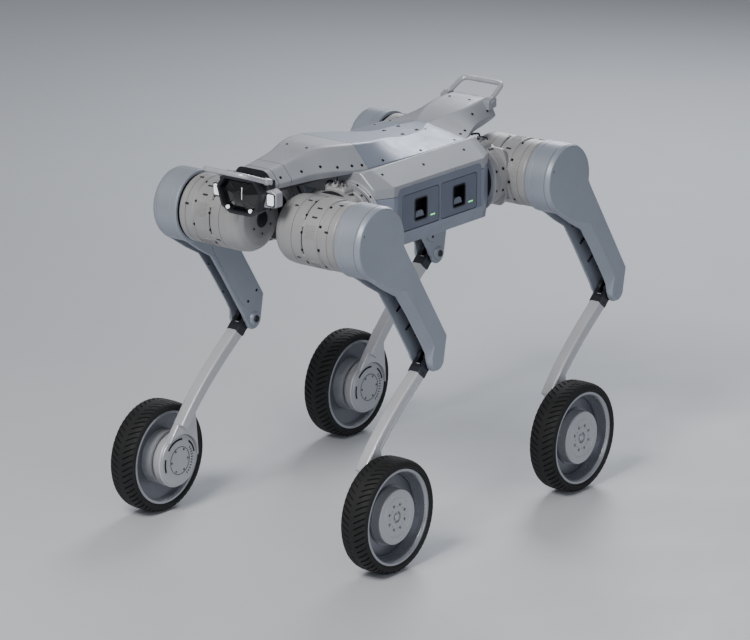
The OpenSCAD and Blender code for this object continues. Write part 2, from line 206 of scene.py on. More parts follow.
def bevelled(mesh, width, steps=2, angle=28):
    return with_modifiers(mesh, [("BEVEL", {
        "width": width, "segments": steps, "limit_method": "ANGLE",
        "angle_limit": math.radians(angle), "use_clamp_overlap": True})])


def cut(mesh, *cutters):
    """The mesh with the cutters taken away."""
    for cutter in cutters:
        tool = bpy.data.objects.new("cutter", cutter)
        bpy.context.scene.collection.objects.link(tool)
        mesh = with_modifiers(mesh, [("BOOLEAN", {
            "operation": "DIFFERENCE", "solver": "EXACT", "object": tool})])
        bpy.data.objects.remove(tool)
    return mesh


def moved(mesh, matrix):
    copy = mesh.copy()
    copy.transform(matrix)
    if matrix.determinant() < 0:
        copy.flip_normals()
    return copy


def joined(meshes):
    bm = bmesh.new()
    for mesh in meshes:
        bm.from_mesh(mesh)
    result = bpy.data.meshes.new("joined")
    bm.to_mesh(result)
    bm.free()
    return result


def shifted(x=0.0, y=0.0, z=0.0):
    return Matrix.Translation((x, y, z))


def aim(at, axis):
    """Stands a Y-axis shape at a point, along an axis."""
    turn = Vector((0, 1, 0)).rotation_difference(Vector(axis))
    return Matrix.Translation(at) @ turn.to_matrix().to_4x4()


def about_x(y=0.0):
    """Turns a Y-axis shape onto the abduction axis, its y becoming x."""
    return shifted(y=y) @ Matrix.Rotation(math.radians(-90), 4, "Z")


def both_sides(mesh):
    return joined([mesh, moved(mesh, Matrix.Diagonal((1, -1, 1, 1)))])


def around(mesh, count, start=0.0, sweep=360.0):
    """Copies of a mesh turned about the Y axis."""
    turns = [math.radians(start + sweep * k / count) for k in range(count)]
    return joined([moved(mesh, Matrix.Rotation(a, 4, "Y")) for a in turns])


def placed(mesh, spots):
    """Copies of a Y-axis shape at (point, axis) spots."""
    return joined([moved(mesh, aim(at, axis)) for at, axis in spots])


def piece(name, body, place, parts, stands_for=()):
    """Joins (mesh, material) parts into one object in the row frame that rides on a body."""
    bm = bmesh.new()
    for index, (mesh, _) in enumerate(parts):
        first = len(bm.faces)
        bm.from_mesh(mesh)
        bm.faces.ensure_lookup_table()
        for face in bm.faces[first:]:
            face.material_index = index
            face.smooth = True
    bm.transform(place)
    if place.determinant() < 0:
        bmesh.ops.reverse_faces(bm, faces=bm.faces)
    mesh = bpy.data.meshes.new(name)
    bm.to_mesh(mesh)
    bm.free()
    for _, material in parts:
        mesh.materials.append(material)
    mesh.set_sharp_from_angle(angle=SHARP)
    obj = bpy.data.objects.new(name, mesh)
    bpy.context.scene.collection.objects.link(obj)
    obj.modifiers.new("even_normals", "WEIGHTED_NORMAL").keep_sharp = True
    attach(obj, body)
    if stands_for:
        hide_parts(*stands_for)
    return obj


# ---------------------------------------------------------------- materials


def srgb(r, g, b):
    """Linear colour from 0-255 display values."""
    return tuple((v / 255 / 12.92 if v < 11 else ((v / 255 + 0.055) / 1.055) ** 2.4)
                 for v in (r, g, b)) + (1.0,)


def surface(name, colour, roughness, metallic=0.0, tone=0.10, blotch=7.0, grain=1400.0, bump=0.12,
            rough_change=0.10, coat=0.0):
    """A procedural finish: blotchy tone, uneven roughness and fine grain."""
    material = bpy.data.materials.new(name)
    material.use_nodes = True
    nodes, links = material.node_tree.nodes, material.node_tree.links
    shader = nodes["Principled BSDF"]
    shader.inputs["Metallic"].default_value = metallic
    shader.inputs["Coat Weight"].default_value = coat
    shader.inputs["Coat Roughness"].default_value = 0.12
    place = nodes.new("ShaderNodeTexCoord")

    def noise(scale, detail):
        node = nodes.new("ShaderNodeTexNoise")
        node.inputs["Scale"].default_value = scale
        node.inputs["Detail"].default_value = detail
        links.new(place.outputs["Object"], node.inputs["Vector"])
        return node.outputs["Fac"]

    ramp = nodes.new("ShaderNodeValToRGB")
    ramp.color_ramp.elements[0].position = 0.30
    ramp.color_ramp.elements[1].position = 0.72
    ramp.color_ramp.elements[0].color = tuple(c * (1 - tone) for c in colour[:3]) + (1,)
    ramp.color_ramp.elements[1].color = tuple(min(1, c * (1 + tone)) for c in colour[:3]) + (1,)
    links.new(noise(blotch, 6.0), ramp.inputs["Fac"])
    links.new(ramp.outputs["Color"], shader.inputs["Base Color"])
    rough = nodes.new("ShaderNodeMapRange")
    rough.inputs["To Min"].default_value = max(0.03, roughness - rough_change)
    rough.inputs["To Max"].default_value = min(1.0, roughness + rough_change)
    links.new(noise(blotch * 6, 5.0), rough.inputs["Value"])
    links.new(rough.outputs["Result"], shader.inputs["Roughness"])
    relief = nodes.new("ShaderNodeBump")
    relief.inputs["Strength"].default_value = bump
    relief.inputs["Distance"].default_value = 0.0004
    links.new(noise(grain, 2.0), relief.inputs["Height"])
    links.new(relief.outputs["Normal"], shader.inputs["Normal"])
    return material


def glow(name, colour, strength):
    material = surface(name, colour, 0.3, bump=0.0)
    shader = material.node_tree.nodes["Principled BSDF"]
    shader.inputs["Emission Color"].default_value = colour
    shader.inputs["Emission Strength"].default_value = strength
    return material


PAINT = surface("light_paint", srgb(158, 160, 166), 0.42, 0.25, 0.07)
BLUE_PAINT = surface("blue_paint", srgb(134, 141, 156), 0.42, 0.25, 0.07)
LEG_PAINT = surface("leg_paint", srgb(150, 156, 167), 0.40, 0.30, 0.06)
HIP_PAINT = surface("hip_paint", srgb(160, 159, 160), 0.45, 0.30, 0.09, 10.0)
DOOR = surface("door_plastic", srgb(96, 102, 117), 0.5, 0.0, 0.08)
DOOR_FRAME = surface("door_frame", srgb(112, 118, 133), 0.48, 0.1, 0.08)
CALF_METAL = surface("calf_metal", srgb(196, 196, 200), 0.38, 0.35, 0.05, 9.0, 900.0)
RIM_METAL = surface("rim_metal", srgb(172, 174, 180), 0.30, 0.75, 0.06, 12.0, 900.0, 0.06)
HUB_METAL = surface("hub_metal", srgb(182, 184, 188), 0.42, 0.45, 0.05, 12.0, 900.0)
TUBE_METAL = surface("tube_metal", srgb(186, 187, 192), 0.36, 0.4, 0.06, 14.0, 900.0)
DARK = surface("dark_plastic", srgb(30, 31, 36), 0.5, 0.0, 0.2)
BLACK_GLOSS = surface("black_gloss", srgb(8, 8, 10), 0.08, 0.0, 0.2, 7.0, 400.0, 0.02, 0.04, 0.6)
STEEL = surface("dark_steel", srgb(66, 68, 74), 0.36, 0.8, 0.15, 14.0)
SCREW = surface("black_screw", srgb(16, 17, 20), 0.4, 0.6, 0.2)
RUBBER = surface("tyre_rubber", srgb(15, 15, 16), 0.72, 0.0, 0.16, 18.0, 900.0, 0.35)
CIRCUIT = surface("circuit_case", srgb(70, 84, 78), 0.5, 0.5, 0.1)
LAMP = glow("lamp_lens", srgb(235, 240, 248), 0.6)
GREEN = glow("green_led", srgb(120, 235, 140), 1.2)
DISH = surface("dish_metal", srgb(120, 122, 130), 0.34, 0.7, 0.1, 12.0)

# ---------------------------------------------------------------- shared detail shapes


def button(radius, height):
    """A screw head with a socket, standing on y = 0."""
    socket = radius * 0.45
    return lathe([(0, -0.6), (radius, -0.6), (radius, height * 0.5), (radius * 0.8, height),
                  (socket, height), (socket, height * 0.35), (0, height * 0.35)], 18)


def disc(radius, y0, y1, steps=64):
    return lathe([(0, y0), (radius, y0), (radius, y1), (0, y1)], steps)


def ring(r0, r1, y0, y1, steps=96):
    return lathe([(r0, y0), (r1, y0), (r1, y1), (r0, y1)], steps)


def block(x0, x1, y0, y1, z0, z1, bevel=1.5, steps=2):
    mesh = prism(box_outline(x0, x1, z0, z1), y0, y1)
    return bevelled(mesh, bevel, steps) if bevel else mesh


def on_surface(mesh, start, direction):
    """Where a ray meets a mesh, and the face normal there."""
    tree = BVHTree.FromPolygons([v.co for v in mesh.vertices], [p.vertices for p in mesh.polygons])
    hit, normal, _, _ = tree.ray_cast(Vector(start), Vector(direction).normalized())
    if hit is None:
        raise ValueError("no surface below the screw at %s" % (start,))
    if normal.dot(Vector(direction)) > 0:
        normal = -normal
    return hit, normal


def smooth(stations, per_step=4):
    """Catmull-Rom samples of rows of numbers; the first number is the distance along."""
    out = []
    rows = [stations[0]] + list(stations) + [stations[-1]]
    for i in range(1, len(rows) - 2):
        p0, p1, p2, p3 = rows[i - 1:i + 3]
        for k in range(per_step):
            t = k / per_step
            out.append([0.5 * (2 * b + (c - a) * t + (2 * a - 5 * b + 4 * c - d) * t * t
                               + (3 * b - a - 3 * c + d) * t ** 3)
                        for a, b, c, d in zip(p0, p1, p2, p3)])
    return out + [list(stations[-1])]


def section(x, top, crest, width, edge, low, radius=6.0):
    """A closed end outline at x: flat crest, sloping flank, edge, upright skirt and flat base."""
    half = [(0, top), (crest, top), (width, edge), (width, edge - 3), (width - 4, low), (0, low)]
    radii = [0, radius * 3, radius, 1.2, 1.2, 0]
    full = half + [(-y, z) for y, z in half[::-1]]
    full.pop(6), full.pop()
    radii = radii + radii[::-1]
    radii.pop(6), radii.pop()
    return [(x, p[0], p[1]) for p in rounded(full, radii, 4)]


# ---------------------------------------------------------------- body shells

BODY_LOW, BODY_TOP, SPLIT = -75, 98, 45
LEVELS = [(BODY_LOW, 150), (-38, 174), (SPLIT, 174), (67, 174), (BODY_TOP, 120)]


def half_width(z):
    for (z0, w0), (z1, w1) in zip(LEVELS, LEVELS[1:]):
        if z <= z1:
            return w0 + (w1 - w0) * (z - z0) / (z1 - z0)
    return LEVELS[-1][1]


def plan(z, inset=0.0):
    """Plan outline of the body at a height, its upright corners cut."""
    w, x = half_width(z) - inset, 200 - inset
    side = min(w, 153 - inset)
    quarter = [(x, side), (156 - inset, w)]
    points = quarter + [(-a, b) for a, b in quarter[::-1]]
    points += [(a, -b) for a, b in points[::-1]]
    return [(p[0], p[1], z) for p in rounded(points, 9, 3)]


def body_part(heights, inset=0.0):
    return loft([plan(z, inset) for z in heights])


def door_outline(x0, x1, z0, z1, grow=0.0):
    return box_outline(x0 - grow, x1 + grow, z0 - grow, z1 + grow, 8 + grow)


DOORS = {"front": (4.0, 129.0), "rear": (-129.0, -4.0)}
DOOR_Z = (-35.0, 42.0)
BAYS = [prism(door_outline(x0, x1, *DOOR_Z, grow=1.3), 140, 200) for x0, x1 in DOORS.values()]

lower = cut(bevelled(body_part([BODY_LOW, -38, 44.4]), 2.5, 2, 20),
            body_part([BODY_LOW + 3, -36, 60], 4), *BAYS)
upper = cut(bevelled(body_part([SPLIT, 67, BODY_TOP]), 2.0, 2, 20),
            body_part([30, 66, BODY_TOP - 4], 4))
seam_core = cut(body_part([34, 56], 1.6), body_part([30, 60], 4.5), *BAYS)
frame_plate = prism(rounded([(-146, -37), (146, -37), (146, 60), (-146, 60)], [3, 3, 15, 15]),
                    172, 175.2)
frame_plate = cut(bevelled(frame_plate, 0.8, 2), *BAYS)
shelf = block(-136, 136, -160, 171, -41, -38, 0)
piece("shell_lower", "body", BODY, [(lower, BLUE_PAINT), (seam_core, DARK), (shelf, DARK)],
      ["chassis"])
piece("shell_upper", "body", BODY, [(upper, PAINT)])
piece("door_frame", "body", BODY, [(frame_plate, DOOR_FRAME)])

# end faces: flange rings round the abduction axes
flange = lathe([(56, 4), (79, 4), (79, 6.5), (77.5, 8.2), (73, 8.2), (72, 9), (58, 9), (56, 7)])
flange_bolts = around(moved(button(2.6, 1.6), shifted(x=75.3, y=8.2)), 12, 15)
# a dark disc set into each flange's hollow: painted shade of the gap between the body and the hip bracket
flange_gap_shade = lathe([(34, 3), (66, 3), (66, 10.4), (34, 10.4)])
ends = [Matrix.Diagonal((sx, sy, 1, 1)) @ shifted(x=196, y=ABDUCT_Y) @ about_x()
        for sx in (1, -1) for sy in (1, -1)]
piece("end_flanges", "body", BODY, [
    (joined([moved(mesh, end) for end in ends]), material)
    for mesh, material in ((flange, PAINT), (flange_gap_shade, DARK), (flange_bolts, SCREW))])

# ---------------------------------------------------------------- platform, neck and tail

# distance, crest height, crest half width, edge half width, edge height, base height
PLATFORM = [(-164.6, 119, 16, 117, 98.5, 95), (-150, 117, 20, 117, 98.5, 95),
            (-120, 114.5, 35, 118, 98.5, 95), (-90, 114, 38, 118, 98.5, 95),
            (-50, 115, 40, 118, 98.5, 95), (0, 123, 40, 118, 99, 95),
            (50, 131, 53, 117, 99.5, 95), (100, 138, 68, 115, 100, 95),
            (164.6, 147, 72, 112.5, 101, 95)]
NECK = [(165.4, 147, 72, 112, 101, 94), (200, 150, 68, 101, 103, 93.5),
        (240, 152, 56, 86, 107, 92.5), (270, 149, 47, 75, 108, 92), (300, 143, 40, 67, 108, 92),
        (350, 135.5, 36, 59, 106, 92), (404, 129, 33, 53, 104, 93)]
TAIL = [(-165.4, 119, 16, 117, 98.5, 94), (-185, 124, 24, 110, 101, 93),
        (-215, 131, 36, 97, 106, 93), (-250, 138, 46, 84, 109, 94), (-290, 144, 49, 74, 110, 95),
        (-325, 147, 48, 67, 109, 98), (-345, 145, 44, 62, 107, 100), (-357, 139, 38, 55, 106, 103),
        (-363, 129, 30, 46, 108, 106)]
DECK_Z = 114
PAYLOAD_X, PAYLOAD_HALF = -90, 25

deck = loft([section(*row, radius=4) for row in smooth(PLATFORM)])
neck = bevelled(loft([section(*row) for row in smooth(NECK)]), 1.2, 2, 50)
tail = bevelled(loft([section(*row) for row in smooth(TAIL)]), 1.2, 2, 50)
payload = [((PAYLOAD_X + sx * PAYLOAD_HALF, sy * PAYLOAD_HALF, DECK_Z), (0, 0, 1))
           for sx in (-1, 1) for sy in (-1, 1)]
sleeve = lathe([(2.5, -6), (5, -6), (5, 0.9), (4.4, 1.3), (3, 1.3), (2.5, 0.8)], 32)
piece("platform", "body", BODY, [(deck, BLUE_PAINT), (placed(sleeve, payload), STEEL),
                                 (placed(disc(2.6, -6, 0.4, 20), payload), SCREW)],
      ["top_cover"])


def station(rows, x):
    """The row at distance x between two stations."""
    ordered = sorted(rows)
    for a, b in zip(ordered, ordered[1:]):
        if a[0] <= x <= b[0]:
            t = (x - a[0]) / (b[0] - a[0])
            return [p + (q - p) * t for p, q in zip(a, b)]
    return list(rows[-1])


def seam(rows, x, wide=1.0, proud=0.15):
    """A thin dark band round a cover, where two panels meet."""
    rings = []
    for at in (x - wide / 2, x + wide / 2):
        row = station(rows, at)
        row[0] = at
        row[1] += proud
        row[3] += proud
        rings.append(section(*row))
    return loft(rings)


neck_seams = joined([seam(NECK, 388), seam(NECK, 352, 0.8, 0.1)])
gasket = loft([section(404.2, 131, 34, 55, 105, 90), section(407.5, 132, 35, 56, 105.5, 90)])
tray_widths = [(206, 66), (240, 58), (300, 46), (360, 40), (400, 38)]
tray_ring = [(1, 94), (0.9, 84), (0.42, 72), (-0.42, 72), (-0.9, 84), (-1, 94)]
tray = loft([[(x, w * k, z) for k, z in tray_ring] for x, w in tray_widths])
tray = bevelled(tray, 2.0, 2, 20)
vents = joined([moved(block(-15, 15, -1.4, 1.4, -3, 3, 1.0), shifted(x, sy * (w * 0.97), 89.5))
                for x, w in ((250, 56), (286, 49)) for sy in (1, -1)])
piece("neck", "body", BODY, [(neck, PAINT), (neck_seams, DARK), (gasket, DARK)],
      ["neck_cover"])
piece("neck_tray", "body", BODY, [(tray, DARK), (vents, BLACK_GLOSS)])

tail_tray = loft([[(x, w, 97), (x, w * 0.8, low), (x, -w * 0.8, low), (x, -w, 97)]
                  for x, w, low in ((-206, 84, 90), (-260, 74, 89), (-310, 64, 91), (-338, 56, 96))])
pad_side = rounded([(-347, 126), (-317, 122), (-317, 143), (-330, 149), (-347, 146)], 4)
pads = both_sides(bevelled(prism(pad_side, 50, 66), 2.2, 3))
piece("tail", "body", BODY, [(tail, PAINT), (seam(TAIL, -352, 0.8, 0.1), DARK),
                             (bevelled(tail_tray, 2.5, 2, 20), BLUE_PAINT), (pads, PAINT)],
      ["tail_cover"])

# ---------------------------------------------------------------- handles


def loop(bar, foot, half, turn):
    """A loop handle's tube with thicker feet; bar and foot are (x, z)."""
    ends_y = half + 5
    path = [(foot[0], ends_y, foot[1]), (bar[0], half, bar[1]), (bar[0], -half, bar[1]),
            (foot[0], -ends_y, foot[1])]
    path = rounded(path, [0, turn, turn, 0], 9, closed=False)
    down = (Vector((foot[0], 0, foot[1])) - Vector((bar[0], 0, bar[1]))).normalized()
    feet = []
    for sy in (1, -1):
        end = Vector((foot[0], sy * ends_y, foot[1]))
        feet.append(tube([end, end - down * 13, end - down * 17], [8.2, 7.6, 5.6], 24))
    return joined([tube(path, 5.5, 24)] + feet)


piece("handle_front", "body", BODY, [(loop((499, 143), (424, 114.5), 54, 17), TUBE_METAL)],
      ["front_handle"])
piece("handle_rear", "body", BODY, [(loop((-385, 169), (-326, 137), 54, 17), TUBE_METAL)],
      ["rear_handle"])

# ---------------------------------------------------------------- head


def face(half, x):
    points = half + [(-y, z) for y, z in half[::-1]]
    return [(x, p[0], p[1]) for p in rounded(points, 5, 3)]


HEAD = [(26, 41), (49, 55), (62, 96), (45, 122)]
GLASS = [(22, 49), (42, 60), (53, 93), (38, 115)]
GEM = [(9, 66), (17, 71), (22, 88), (14, 97)]


def shrunk(half, k):
    return [(y * k, 84 + (z - 84) * k) for y, z in half]


def pod_ring(x, k):
    """Outline of a lamp pod at x, drawn in by k."""
    outline = [(50 + k, 62 + k), (84 - k, 66 + k), (84 - k, 96 - k), (72, 102 - k), (50 + k, 102 - k)]
    return [(x, y, z) for y, z in rounded(outline, 4, 3)]


def pane(outline, x0, x1):
    """A plate across the robot's front, from x0 to x1."""
    return loft([[(x, p[0], p[1]) for p in outline] for x in (x0, x1)])


shell = loft([face(shrunk(HEAD, 0.93), 404.8), face(HEAD, 414), face(HEAD, 444),
              face(shrunk(HEAD, 0.95), 451.8)])
shell = cut(shell, loft([face(GLASS, 436), face(GLASS, 460)]))
glass = loft([face(shrunk(GLASS, 0.99), 430), face(shrunk(GLASS, 0.99), 442), face(GEM, 450.5),
              face(shrunk(GEM, 0.5), 451.6)])
struts = []
for (ya, za), (yb, zb) in zip(GLASS, GEM):
    for sy in (1, -1):
        struts.append(tube([(443, sy * ya, za), (450.6, sy * yb, zb)], 0.8, 10))
lens_spot = [((451.4, 0, 88), (1, 0, 0))]
lens_rim = placed(lathe([(4.2, -2), (6.2, -2), (6.2, 0.3), (5.4, 0.6), (4.2, 0.2)], 40), lens_spot)
lens_eye = placed(disc(4.2, -2, -0.2, 40), lens_spot)
pod = loft([pod_ring(x, k) for x, k in ((409, 3), (413, 0), (432, 0), (434.5, 2))])
pod = both_sides(bevelled(pod, 0.8, 2))
pod_bezel = both_sides(pane(box_outline(59.5, 82, 67.5, 96, 5), 432, 435.4))
brow = both_sides(block(410, 436, 40, 66, 99, 121, 5, 3))
chin = block(412, 438, -22, 22, 40, 47, 3, 2)
piece("head", "body", BODY, [(joined([shell, brow, chin]), DARK), (pod, PAINT), (pod_bezel, DARK)],
      ["head_housing"])
piece("visor_glass", "body", BODY, [(glass, BLACK_GLOSS), (joined(struts + [lens_rim]), STEEL),
                                    (lens_eye, BLACK_GLOSS)], ["visor"])
lamp_panes = both_sides(pane(box_outline(62.5, 79.5, 70.5, 93.5, 4), 434, 436.6))
small_lamp = lathe([(0, -3), (4, -3), (4, 0.8), (3.2, 1.6), (0, 1.8)], 28)
small_lamps = both_sides(placed(small_lamp, [((452, 30, 55), (1, 0, 0))]))
# a thin glowing strip on the visor glass, not a lamp: a painted highlight
glass_glint_strip = moved(block(-0.7, 0.7, -0.6, 0.6, 0, 26, 0.3), shifted(451.3, 8, 76))
piece("lamps", "body", BODY, [(joined([lamp_panes, small_lamps, glass_glint_strip]), LAMP)],
      ["head_lamps"])

# ---------------------------------------------------------------- batteries, latches, side panel

for name, (x0, x1) in DOORS.items():
    mid = (x0 + x1) / 2
    hole = prism(box_outline(mid - 20, mid + 20, -19, 26, 5), 160.5, 190)
    door = bevelled(prism(door_outline(x0, x1, *DOOR_Z), 168.2, 175), 1.1, 3)
    case = block(x0 + 1, x1 - 1, -23, 168.2, -34, 41, 4, 3)
    door, case = cut(door, hole), cut(case, hole)
    rim = cut(bevelled(prism(box_outline(mid - 22.5, mid + 22.5, -21.5, 28.5, 7), 174.4, 175.8), 0.5, 2),
              prism(box_outline(mid - 19.5, mid + 19.5, -18.5, 25.5, 5), 170, 190))
    well = cut(prism(box_outline(mid - 20, mid + 20, -19, 26, 5), 160.6, 174.6),
               prism(box_outline(mid - 19.2, mid + 19.2, -18.2, 25.2, 4.6), 161.4, 180))
    led = block(mid - 48, mid - 33, 174.5, 175.6, -19, -16.2, 0.4)
    piece("battery_%s_door" % name, "battery_" + name, BODY,
          [(door, DOOR), (case, DOOR), (rim, DARK), (well, SCREW), (led, GREEN)],
          ["battery_" + name])
    tab = [(mid - 15, -15), (mid + 15, -15), (mid + 12, -5), (mid + 7, -1), (mid - 7, -1), (mid - 12, -5)]
    tab = bevelled(prism(rounded(tab, 1.6, 3), 167.4, 171.6), 0.8, 2)
    barrel = tube([(mid - 21, 169.5, -15), (mid + 21, 169.5, -15)], 2.3, 20)
    piece("latch_%s_tab" % name, "latch_" + name, BODY, [(tab, DOOR_FRAME), (barrel, STEEL)],
          ["latch_" + name])

panel = bevelled(prism(box_outline(-119.5, 119.5, -29.5, 39.5, 9), -174.5, -170.6), 1.2, 3)
panel_ribs = joined([block(x - 1.5, x + 1.5, -174.9, -173.5, -18, 28, 0.6)
                     for x in range(-60, 61, 12)])
piece("panel_right", "body", BODY, [(panel, DOOR), (panel_ribs, DOOR_FRAME)],
      ["side_panel_right"])

# ---------------------------------------------------------------- screws of the covers

spots = [((x, y, DECK_Z), (0, 0, 1)) for x in (-131, -49) for y in (-34, 34)]
for side in (1, -1):
    for x, z in ((234, 112), (200, 110), (176, 108), (270, 118), (318, 116), (376, 114)):
        spots.append(on_surface(neck, (x, side * 300, z), (0, -side, 0)))
    for x, z in ((-262, 126), (-196, 107), (-176, 104), (-318, 122)):
        spots.append(on_surface(tail, (x, side * 300, z), (0, -side, 0)))
    spots.append(on_surface(tail, (-300, side * 27, 300), (0, 0, -1)))
    spots.append(on_surface(neck, (262, side * 26, 300), (0, 0, -1)))
    for x, y, z in ((150, 300, 88), (18, 300, 84), (-128, 300, 86)):
        spots.append(on_surface(upper, (x, side * y, z), (0, -side, 0)))
    for x in (-138, -20, 110):
        spots.append(on_surface(deck, (x, side * 108, 300), (0, 0, -1)))
for x in (-112, 112):
    for z in (-22, 32):
        spots.append(((x, -174.4, z), (0, -1, 0)))
bright_spots = [on_surface(upper, (x, 300, 65), (0, -1, 0)) for x in (96, -52)]
piece("cover_screw_heads", "body", BODY, [(placed(button(3.2, 0.9), spots), SCREW),
                                          (placed(button(2.6, 1.2), bright_spots), RIM_METAL)],
      ["cover_screws"])

# ---------------------------------------------------------------- hip brackets (drawn for a front leg)

BRACKET_R = 70
SCREW_R = BRACKET_R - 0.2


def round_bracket(x, turn):
    """A screw spot on the bracket's round face; a turn of 90 is on top."""
    a = math.radians(turn)
    out = Vector((0, math.cos(a), math.sin(a)))
    return (Vector((x, ABDUCT_Y, 0)) + out * SCREW_R, out)


bracket_side = rounded([(30, -121.3), (62, -121.3), (66, -120.3), (BRACKET_R, -116), (BRACKET_R, -103),
                        (67.6, -102), (67.6, -99), (BRACKET_R, -98), (BRACKET_R, -66), (30, -66)],
                       [0, 1, 1, 2, 0.4, 0.4, 0.4, 0.4, 0, 0], 3)
motor_space = disc(74.4, 20, 220, 96)
barrel = cut(moved(lathe(bracket_side), about_x(ABDUCT_Y)), motor_space)
saddle_ring = rounded([(-44, -50), (44, -50), (52, -30), (52, 30), (44, 50), (-44, 50), (-52, 30),
                       (-52, -30)], 10, 3)
saddle = loft([[(x, ABDUCT_Y + a * k, b * k) for a, b in saddle_ring]
               for x, k in ((-76, 1.28), (-66, 1.25), (-52, 1.12), (-36, 1.0))])
saddle = cut(bevelled(saddle, 2, 2, 30), motor_space)
neck_ring = moved(ring(40, 68.5, -68, -64), about_x(ABDUCT_Y))
rim_screws = [round_bracket(-110, 18 + 36 * k) for k in range(10)]
pair_screws = [round_bracket(x, turn) for x, turn in ((-90, 62), (-82, 62), (-90, 118), (-82, 118),
                                                      (-86, 20), (-86, -20))]


def clutter_ring(z, k):
    """Outline of the plug block at a height, drawn in by k."""
    outline = box_outline(-104 + k, -70 - k, ABDUCT_Y - 26 + k, ABDUCT_Y + 26 - k, 7)
    return [(p[0], p[1], z) for p in outline]


def plug(r, h):
    """A stepped connector body standing on y = 0."""
    return lathe([(0, -3), (r, -3), (r, h * 0.35), (r - 1, h * 0.42), (r - 1, h * 0.6), (r, h * 0.68),
                  (r, h * 0.92), (r - 1.2, h), (0, h)], 24)


def cable(points, turn, radius):
    return tube(rounded(points, turn, 5, closed=False), radius, 14)


clutter_base = bevelled(loft([clutter_ring(z, k) for z, k in ((58, 0), (71, 0), (75.5, 3))]), 1.0, 2)
plugs = [((-97, 82, 72), (0.2, -0.1, 1), 6.5, 10), ((-97, 100, 72), (0.1, 0.1, 1), 6.0, 8),
         ((-80, 90, 73), (0.5, 0.3, 1), 7.0, 9), ((-82, 110, 71), (0.3, 0.7, 1), 5.5, 9),
         ((-79, 74, 71), (0.5, -0.6, 1), 5.0, 8)]
plug_parts = [moved(plug(r, h), aim(at, axis)) for at, axis, r, h in plugs]
cables = [cable([(-97, 82, 80), (-96, 84, 91), (-80, 92, 90), (-78, 92, 80)], 7, 2.3),
          cable([(-97, 100, 78), (-92, 106, 88), (-80, 112, 84), (-78, 113, 76)], 6, 2.0),
          cable([(-104, 70, 70), (-100, 66, 80), (-84, 68, 82), (-76, 71, 76)], 6, 2.4)]

# ---------------------------------------------------------------- hip motors

MOTOR_R = 74
motor_side = rounded([(0, 40.2), (40, 40.2), (56, 43.5), (66, 51), (72, 62), (MOTOR_R, 78),
                      (MOTOR_R, 119), (71.6, 120.5), (71.6, 125), (MOTOR_R, 126.5), (MOTOR_R, 162),
                      (70.6, 163.5), (70.6, 169), (73.2, 171), (73.2, 203), (69, 208.4),
                      (31, 208.4), (31, 200), (0, 200)],
                     [0, 20, 14, 10, 10, 8, 0.8, 0.5, 0.5, 0.8, 0.8, 0.5, 0.5, 0.8,
                      2.5, 2, 0.5, 0, 0], 4)
can = lathe(motor_side, 120)
seams = joined([ring(70, 74.05, 96.5, 97.4, 120), ring(70, 73.3, 188, 188.8, 120),
                ring(50, 72.3, 122, 123.6, 120)])


def rim_spot(y, turn, r):
    """A screw spot on the motor's round face."""
    out = Vector(on_circle(1.0, turn))
    return (Vector((0, y, 0)) + out * r, out)


def turned(mesh, turn):
    """The mesh swung about the Y axis by degrees, from +X towards +Z."""
    return moved(mesh, Matrix.Rotation(-math.radians(turn), 4, "Y"))


seam_spots = [rim_spot(123, 12 + 30 * k, 71.4) for k in range(12)]
seam_spots += [rim_spot(166, 27 + 40 * k, 70.4) for k in range(9)]
slots = []
for y, turn, long in ((146, 40, 13), (146, 58, 13), (108, 72, 11), (146, 128, 13), (108, 150, 11),
                      (146, -60, 13), (108, -35, 11), (88, 55, 9), (88, 130, 9), (146, 200, 13),
                      (186, 75, 9), (186, 20, 9)):
    shape = prism(box_outline(0, 2.4, -2.4, 2.4, 1.5, 3), y - long / 2, y + long / 2)
    slots.append(turned(moved(bevelled(shape, 0.5, 1), shifted(x=72.1)), turn))
wide_rib = block(72.6, 75.0, 132, 157, -1.0, 1.0, 0.5, 1)
ribs = [turned(wide_rib, centre + (k - 3) * 3.4) for centre in (95, 15, -50, 215) for k in range(7)]
short_rib = block(71.4, 74.4, 175, 184, -1.3, 1.3, 0.5, 1)
ribs += [turned(short_rib, 140 + k * 4.2) for k in range(9)]
lug = loft([[(x, 120 + a, b) for a, b in box_outline(-7, 7, -8, 8, 3)] for x in (66, 74.8)])
lug = bevelled(lug, 1.0, 2)
lugs = [turned(lug, 27 + 60 * k) for k in range(6)]
hub = lathe([(0, 207), (30, 207), (30, 211), (27, 211), (27, 226), (15.3, 226), (15.3, 207.5),
             (0, 207.5)], 72)
end_cap = lathe(rounded([(0, 38.8), (16, 38.8), (18, 40), (18, 44), (0, 44)], [0, 1.5, 1, 0, 0], 3), 48)
end_bolts = around(moved(button(2.4, 1.2), shifted(x=31) @ aim((0, 40.4, 0), (0, -1, 0))), 6, 30)

# ---------------------------------------------------------------- thigh (drawn in the thigh frame)

KNEE_T = -THIGH_LEN
DRUM_R = 78


def thigh_outline(inset, front):
    """Drum and leg in one side outline; front lists the front edge from drum to knee."""
    drum = arc((0, 0), DRUM_R - inset, 225.0, -27.0, 44)
    knee_round = arc((0, KNEE_T), 25 - inset, 22.0, -128.0, 14)
    back = [(-55 + inset, -325 - inset * 0.3), (-55 + inset, -190), (-55 + inset, -70)]
    return drum + list(front) + knee_round + back


WIDE = [(60, -55), (42, -95), (19, -138), (15, -200), (14, -290), (15, -316), (22, -334)]
STRIP = [(52, -60), (31, -100), (-5, -140), (-9, -200), (-12, -298), (-9, -313), (12, -332)]


def between(k):
    return [(a + (c - a) * k, b + (d - b) * k) for (a, b), (c, d) in zip(WIDE, STRIP)]


